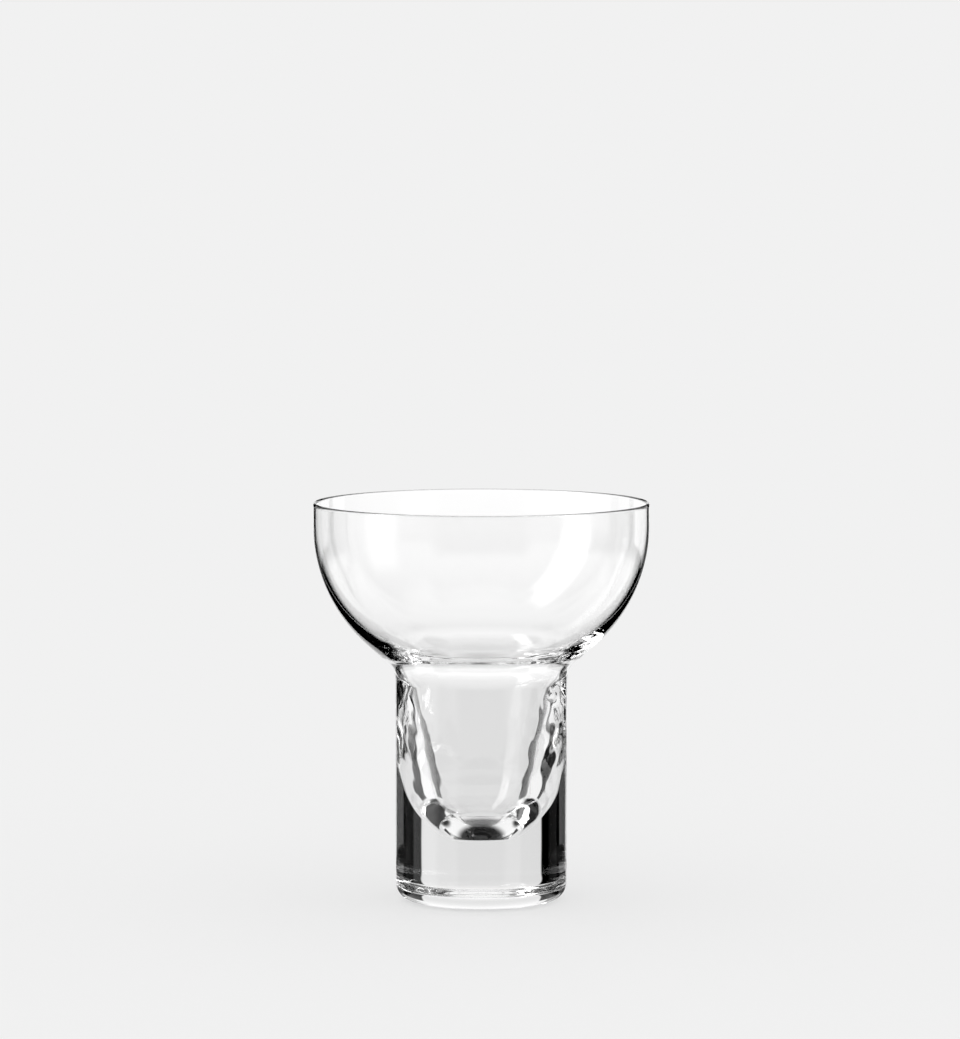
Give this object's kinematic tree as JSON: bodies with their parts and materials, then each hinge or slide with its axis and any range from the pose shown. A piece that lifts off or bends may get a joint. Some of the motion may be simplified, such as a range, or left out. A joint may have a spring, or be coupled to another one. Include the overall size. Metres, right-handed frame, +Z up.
{
  "type": "cocktail glass",
  "caption": "Stemless clear cocktail glass: a thin, open, rounded bowl that runs down into a tapered well inside a heavy cylindrical foot.",
  "frame": {"origin": "centre of the flat base", "axes": "+Z up along the axis of the glass, from the base to the rim; +X and +Y are alike, since the glass is round"},
  "size_m": [0.09, 0.09, 0.107],
  "materials": {
    "bowl_glass": "thin, clear, colourless blown glass with a fire-polished rim",
    "foot_glass": "thick, clear, colourless glass with a slight hand-worked waviness"
  },
  "bodies": {
    "root": {"bowl": "bowl_glass", "foot": "foot_glass"}
  },
  "joints": []
}
